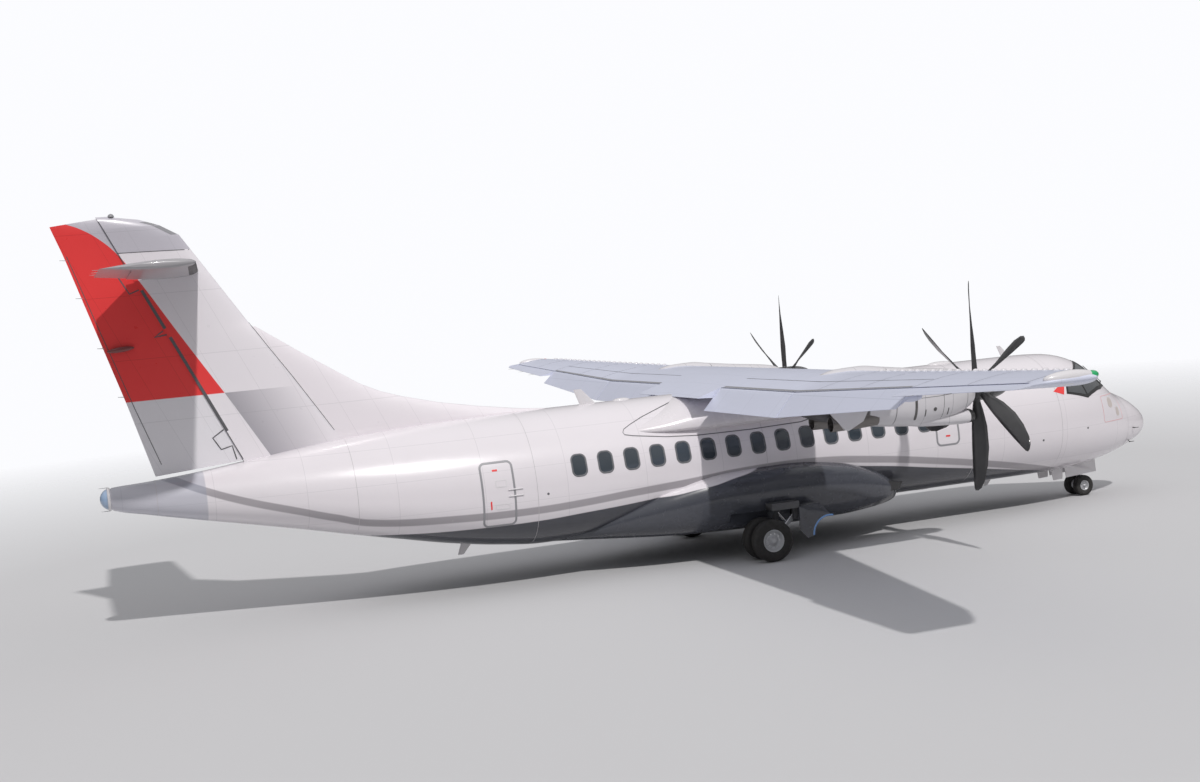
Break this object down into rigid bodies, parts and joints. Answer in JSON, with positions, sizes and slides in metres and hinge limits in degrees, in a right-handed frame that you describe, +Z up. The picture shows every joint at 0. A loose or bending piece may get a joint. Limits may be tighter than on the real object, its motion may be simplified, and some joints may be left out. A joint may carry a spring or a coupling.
{
  "type": "turboprop airliner",
  "caption": "High-wing turboprop regional airliner with T-tail, propeller engines on the wing, belly gear fairings, lowered flaps and steerable nose wheels.",
  "frame": {"origin": "on the ground under the middle of the aircraft's length and span", "axes": "+X towards the nose, +Y towards the port wing tip, +Z up"},
  "size_m": [22.67, 24.57, 7.586],
  "materials": {
    "white_paint": "gloss white paint",
    "wing_paint": "satin pale blue-grey paint",
    "belly_paint": "satin charcoal paint",
    "red_paint": "gloss red paint",
    "black_composite": "satin black composite",
    "dark_glass": "dark tinted glazing",
    "gear_grey": "grey painted forging",
    "wheel_grey": "light grey paint",
    "tyre_rubber": "matte rubber",
    "engine_metal": "bare metal",
    "lamp_red": "red lens"
  },
  "bodies": {
    "airframe": {"radome": "white_paint", "fuselage_forward": "white_paint", "fuselage_centre": "white_paint", "fuselage_rear": "white_paint", "tail_cone": "white_paint", "service_door": "white_paint", "wing_body_fairing": "white_paint", "dorsal_fin": "white_paint", "fin": "white_paint", "fin_cap": "white_paint", "nacelle_cowl_left": "white_paint", "nacelle_cowl_right": "white_paint", "nacelle_aft_left": "white_paint", "nacelle_aft_right": "white_paint", "nose_gear_door_left": "white_paint", "nose_gear_door_right": "white_paint", "wing_centre": "wing_paint", "wing_left": "wing_paint", "wing_right": "wing_paint", "wing_tip_left": "wing_paint", "wing_tip_right": "wing_paint", "tailplane": "wing_paint", "belly_fairing": "belly_paint", "main_gear_door_left": "belly_paint", "main_gear_door_right": "belly_paint", "beacon": "lamp_red", "cockpit_glazing": "dark_glass", "engine_left": "engine_metal", "engine_right": "engine_metal", "main_gear_leg_left": "gear_grey", "main_gear_leg_right": "gear_grey", "main_gear_arm_left": "gear_grey", "main_gear_arm_right": "gear_grey", "nose_gear_leg": "gear_grey"},
    "propeller_left": {"propeller_left": "black_composite", "spinner_left": "black_composite"},
    "propeller_right": {"propeller_right": "black_composite", "spinner_right": "black_composite"},
    "rudder": {"rudder": "red_paint"},
    "elevator_left": {"elevator_left": "wing_paint"},
    "elevator_right": {"elevator_right": "wing_paint"},
    "aileron_left": {"aileron_left": "wing_paint"},
    "aileron_right": {"aileron_right": "wing_paint"},
    "flap_inner_left": {"flap_inner_left": "wing_paint"},
    "flap_inner_right": {"flap_inner_right": "wing_paint"},
    "flap_outer_left": {"flap_outer_left": "wing_paint"},
    "flap_outer_right": {"flap_outer_right": "wing_paint"},
    "main_wheels_left": {"wheels_main_left": "wheel_grey", "tyre_main_left_port": "tyre_rubber", "tyre_main_left_starboard": "tyre_rubber"},
    "main_wheels_right": {"wheels_main_right": "wheel_grey", "tyre_main_right_port": "tyre_rubber", "tyre_main_right_starboard": "tyre_rubber"},
    "nose_steering": {"nose_steering": "gear_grey"},
    "nose_wheels": {"wheels_nose": "wheel_grey", "tyre_nose_port": "tyre_rubber", "tyre_nose_starboard": "tyre_rubber"},
    "passenger_door": {"passenger_door": "white_paint"},
    "cargo_door": {"cargo_door": "white_paint"}
  },
  "joints": [
    {"name": "propeller_left_spin", "type": "hinge", "parent": "airframe", "child": "propeller_left", "pos_m": [4.573, 4.05, 3.04], "axis": [1, 0, 0], "continuous": true},
    {"name": "propeller_right_spin", "type": "hinge", "parent": "airframe", "child": "propeller_right", "pos_m": [4.573, -4.05, 3.04], "axis": [1, 0, 0], "continuous": true},
    {"name": "rudder_hinge", "type": "hinge", "parent": "airframe", "child": "rudder", "pos_m": [-8.4548, 0, 2.93], "axis": [-0.4179, 0, 0.9085], "range_deg": [-27, 27]},
    {"name": "elevator_left_hinge", "type": "hinge", "parent": "airframe", "child": "elevator_left", "pos_m": [-10.17, 0.29, 6.45], "axis": [0, 1, 0], "range_deg": [-16, 25]},
    {"name": "elevator_right_hinge", "type": "hinge", "parent": "airframe", "child": "elevator_right", "pos_m": [-10.17, -0.29, 6.45], "axis": [0, 1, 0], "range_deg": [-16, 25]},
    {"name": "aileron_left_hinge", "type": "hinge", "parent": "airframe", "child": "aileron_left", "pos_m": [0.40404, 8.97, 3.5098], "axis": [-0.0217, 0.9984, 0.0525], "range_deg": [-19, 19]},
    {"name": "aileron_right_hinge", "type": "hinge", "parent": "airframe", "child": "aileron_right", "pos_m": [0.40404, -8.97, 3.5098], "axis": [0.0217, 0.9984, -0.0525], "range_deg": [-19, 19]},
    {"name": "flap_inner_left_hinge", "type": "hinge", "parent": "airframe", "child": "flap_inner_left", "pos_m": [0.494, 1.64, 3.28399], "axis": [0, -1, 0], "range_deg": [-30, 5]},
    {"name": "flap_inner_right_hinge", "type": "hinge", "parent": "airframe", "child": "flap_inner_right", "pos_m": [0.494, -1.64, 3.28399], "axis": [0, -1, 0], "range_deg": [-30, 5]},
    {"name": "flap_outer_left_hinge", "type": "hinge", "parent": "airframe", "child": "flap_outer_left", "pos_m": [0.49374, 4.842, 3.28466], "axis": [0.0217, -0.9983, -0.0545], "range_deg": [-30, 5]},
    {"name": "flap_outer_right_hinge", "type": "hinge", "parent": "airframe", "child": "flap_outer_right", "pos_m": [0.49374, -4.842, 3.28466], "axis": [-0.0217, -0.9983, 0.0545], "range_deg": [-30, 5]},
    {"name": "main_wheels_left_spin", "type": "hinge", "parent": "airframe", "child": "main_wheels_left", "pos_m": [1, 2.05, 0.4065], "axis": [0, 1, 0], "continuous": true},
    {"name": "main_wheels_right_spin", "type": "hinge", "parent": "airframe", "child": "main_wheels_right", "pos_m": [1, -2.05, 0.4065], "axis": [0, 1, 0], "continuous": true},
    {"name": "nose_steering_turn", "type": "hinge", "parent": "airframe", "child": "nose_steering", "pos_m": [9.58, 0, 0.225], "axis": [0, 0, 1], "range_deg": [-60, 60]},
    {"name": "nose_wheels_spin", "type": "hinge", "parent": "nose_steering", "child": "nose_wheels", "pos_m": [9.58, 0, 0.225], "axis": [0, 1, 0], "continuous": true},
    {"name": "passenger_door_hinge", "type": "hinge", "parent": "airframe", "child": "passenger_door", "pos_m": [-4.675, 1.17137, 1.27111], "axis": [-0.9828, -0.1844, -0.0048], "range_deg": [0, 125]},
    {"name": "cargo_door_hinge", "type": "hinge", "parent": "airframe", "child": "cargo_door", "pos_m": [6.8775, 1.10415, 2.72162], "axis": [1, 0, 0], "range_deg": [0, 105]}
  ],
  "couplings": [
    {"joint": "elevator_right_hinge", "follows": "elevator_left_hinge", "ratio": 1},
    {"joint": "aileron_right_hinge", "follows": "aileron_left_hinge", "ratio": -1},
    {"joint": "flap_inner_right_hinge", "follows": "flap_inner_left_hinge", "ratio": 1},
    {"joint": "flap_outer_left_hinge", "follows": "flap_inner_left_hinge", "ratio": 1},
    {"joint": "flap_outer_right_hinge", "follows": "flap_inner_left_hinge", "ratio": 1}
  ]
}
